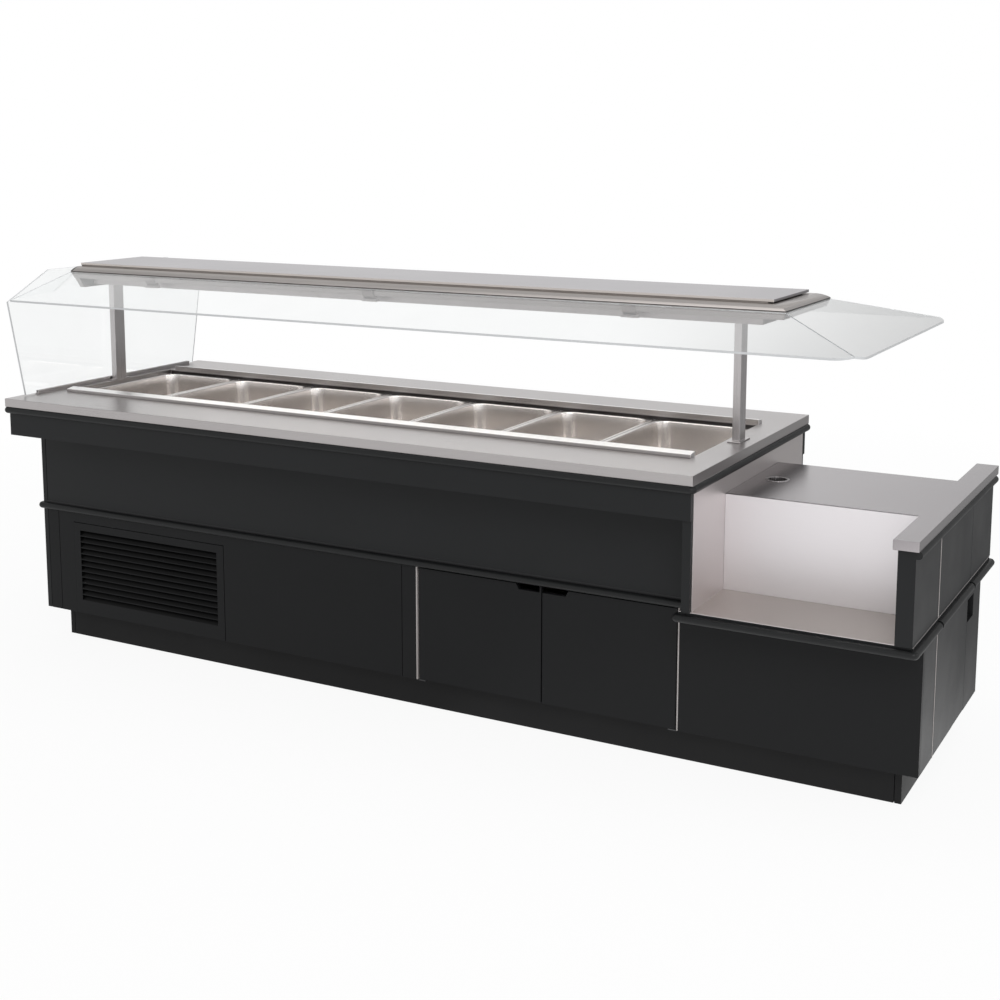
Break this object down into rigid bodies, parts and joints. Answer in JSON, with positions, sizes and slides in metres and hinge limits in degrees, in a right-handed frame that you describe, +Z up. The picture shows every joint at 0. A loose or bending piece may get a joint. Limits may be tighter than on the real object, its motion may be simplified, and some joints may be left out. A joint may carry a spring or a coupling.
{
  "type": "self-service buffet counter",
  "caption": "Long self-service buffet counter: chilled well with lift-out pans under a lit canopy with glass guards, and a lower end module with open bays.",
  "frame": {"origin": "centre of the bounding box's footprint, on the floor", "axes": "+X along the counter from the canopy's end glass to the lower module, -Y the front with the two doors, +Z up"},
  "size_m": [3.064, 1.02, 1.301],
  "materials": {
    "dark_board": "smooth laminate over board",
    "plinth_board": "dull laminate over board",
    "white_board": "melamine-faced board",
    "ply_core": "raw plywood",
    "stainless": "fine brushed",
    "pan_steel": "drawn, satin",
    "black_rail": "matt black",
    "bumper_plastic": "semi-gloss extrusion",
    "edge_plastic": "satin strip",
    "clear_glass": "clear, ground edges",
    "diffuser_plastic": "opal",
    "foam": "rigid foam",
    "black_metal": "black enamel",
    "coil_aluminium": "fins, mill finish",
    "fan_plastic": "moulded",
    "control_plastic": "moulded",
    "knob_plastic": "moulded"
  },
  "bodies": {
    "counter": {"plinth_boards": "plinth_board", "levelling_feet": "stainless", "bottom_deck": "dark_board", "front_lower_panels": "dark_board", "grille_panel": "dark_board", "edge_strips": "edge_plastic", "hinge_brackets": "stainless", "back_lower_panel": "dark_board", "end_lower_panels": "dark_board", "end_upper_panels": "dark_board", "mid_rails": "black_rail", "module_deck": "dark_board", "fin_wall": "dark_board", "module_lining": "stainless", "bay_end_wall": "dark_board", "bay_back_panels": "stainless", "worktop": "stainless", "worktop_core": "ply_core", "port_ring": "stainless", "apron_boards": "dark_board", "upper_body_panels": "dark_board", "counter_top": "stainless", "top_bumper": "bumper_plastic", "mid_bumper": "bumper_plastic", "module_bumper": "bumper_plastic", "arm_bumper": "bumper_plastic", "well_tank": "stainless", "tank_foam": "foam", "divider_bars": "stainless", "well_rails": "stainless", "post_left": "stainless", "post_right": "stainless", "hood_shell": "stainless", "hood_top_plate": "stainless", "light_housing": "stainless", "light_diffuser": "diffuser_plastic", "guard_clamps": "stainless", "guard_front": "clear_glass", "guard_back": "clear_glass", "guard_right": "clear_glass", "end_glass": "clear_glass", "end_channel": "stainless", "compressor": "black_metal", "condenser": "coil_aluminium", "fan_shroud": "stainless", "fan_motor": "black_metal", "bay_boards": "white_board", "control_box": "control_plastic"},
    "door_left": {"door_left": "dark_board"},
    "door_right": {"door_right": "dark_board"},
    "end_door": {"end_door": "dark_board"},
    "pan_1": {"pan_1": "pan_steel"},
    "pan_2": {"pan_2": "pan_steel"},
    "pan_3": {"pan_3": "pan_steel"},
    "pan_4": {"pan_4": "pan_steel"},
    "pan_5": {"pan_5": "pan_steel"},
    "pan_6": {"pan_6": "pan_steel"},
    "pan_7": {"pan_7": "pan_steel"},
    "condenser_fan": {"condenser_fan": "fan_plastic"},
    "thermostat_knob": {"thermostat_knob": "knob_plastic"}
  },
  "joints": [
    {"name": "door_left_hinge", "type": "hinge", "parent": "counter", "child": "door_left", "pos_m": [0.0165, -0.3495, 0.28], "axis": [0, 0, -1], "range_deg": [0, 95]},
    {"name": "door_right_hinge", "type": "hinge", "parent": "counter", "child": "door_right", "pos_m": [0.8389, -0.3495, 0.28], "axis": [0, 0, 1], "range_deg": [0, 95]},
    {"name": "end_door_hinge", "type": "hinge", "parent": "counter", "child": "end_door", "pos_m": [1.508, -0.193, 0.28], "axis": [0, 0, -1], "range_deg": [0, 95]},
    {"name": "pan_1_lift", "type": "slide", "parent": "counter", "child": "pan_1", "axis": [0, 0, 1], "range_m": [0, 0.25]},
    {"name": "pan_2_lift", "type": "slide", "parent": "counter", "child": "pan_2", "axis": [0, 0, 1], "range_m": [0, 0.25]},
    {"name": "pan_3_lift", "type": "slide", "parent": "counter", "child": "pan_3", "axis": [0, 0, 1], "range_m": [0, 0.25]},
    {"name": "pan_4_lift", "type": "slide", "parent": "counter", "child": "pan_4", "axis": [0, 0, 1], "range_m": [0, 0.25]},
    {"name": "pan_5_lift", "type": "slide", "parent": "counter", "child": "pan_5", "axis": [0, 0, 1], "range_m": [0, 0.25]},
    {"name": "pan_6_lift", "type": "slide", "parent": "counter", "child": "pan_6", "axis": [0, 0, 1], "range_m": [0, 0.25]},
    {"name": "pan_7_lift", "type": "slide", "parent": "counter", "child": "pan_7", "axis": [0, 0, 1], "range_m": [0, 0.25]},
    {"name": "condenser_fan_spin", "type": "hinge", "parent": "counter", "child": "condenser_fan", "pos_m": [-1.056, -0.2745, 0.262], "axis": [0, 1, 0], "continuous": true},
    {"name": "thermostat_turn", "type": "hinge", "parent": "counter", "child": "thermostat_knob", "pos_m": [0.0295, -0.3015, 0.386], "axis": [0, 1, 0], "range_deg": [0, 270]}
  ]
}
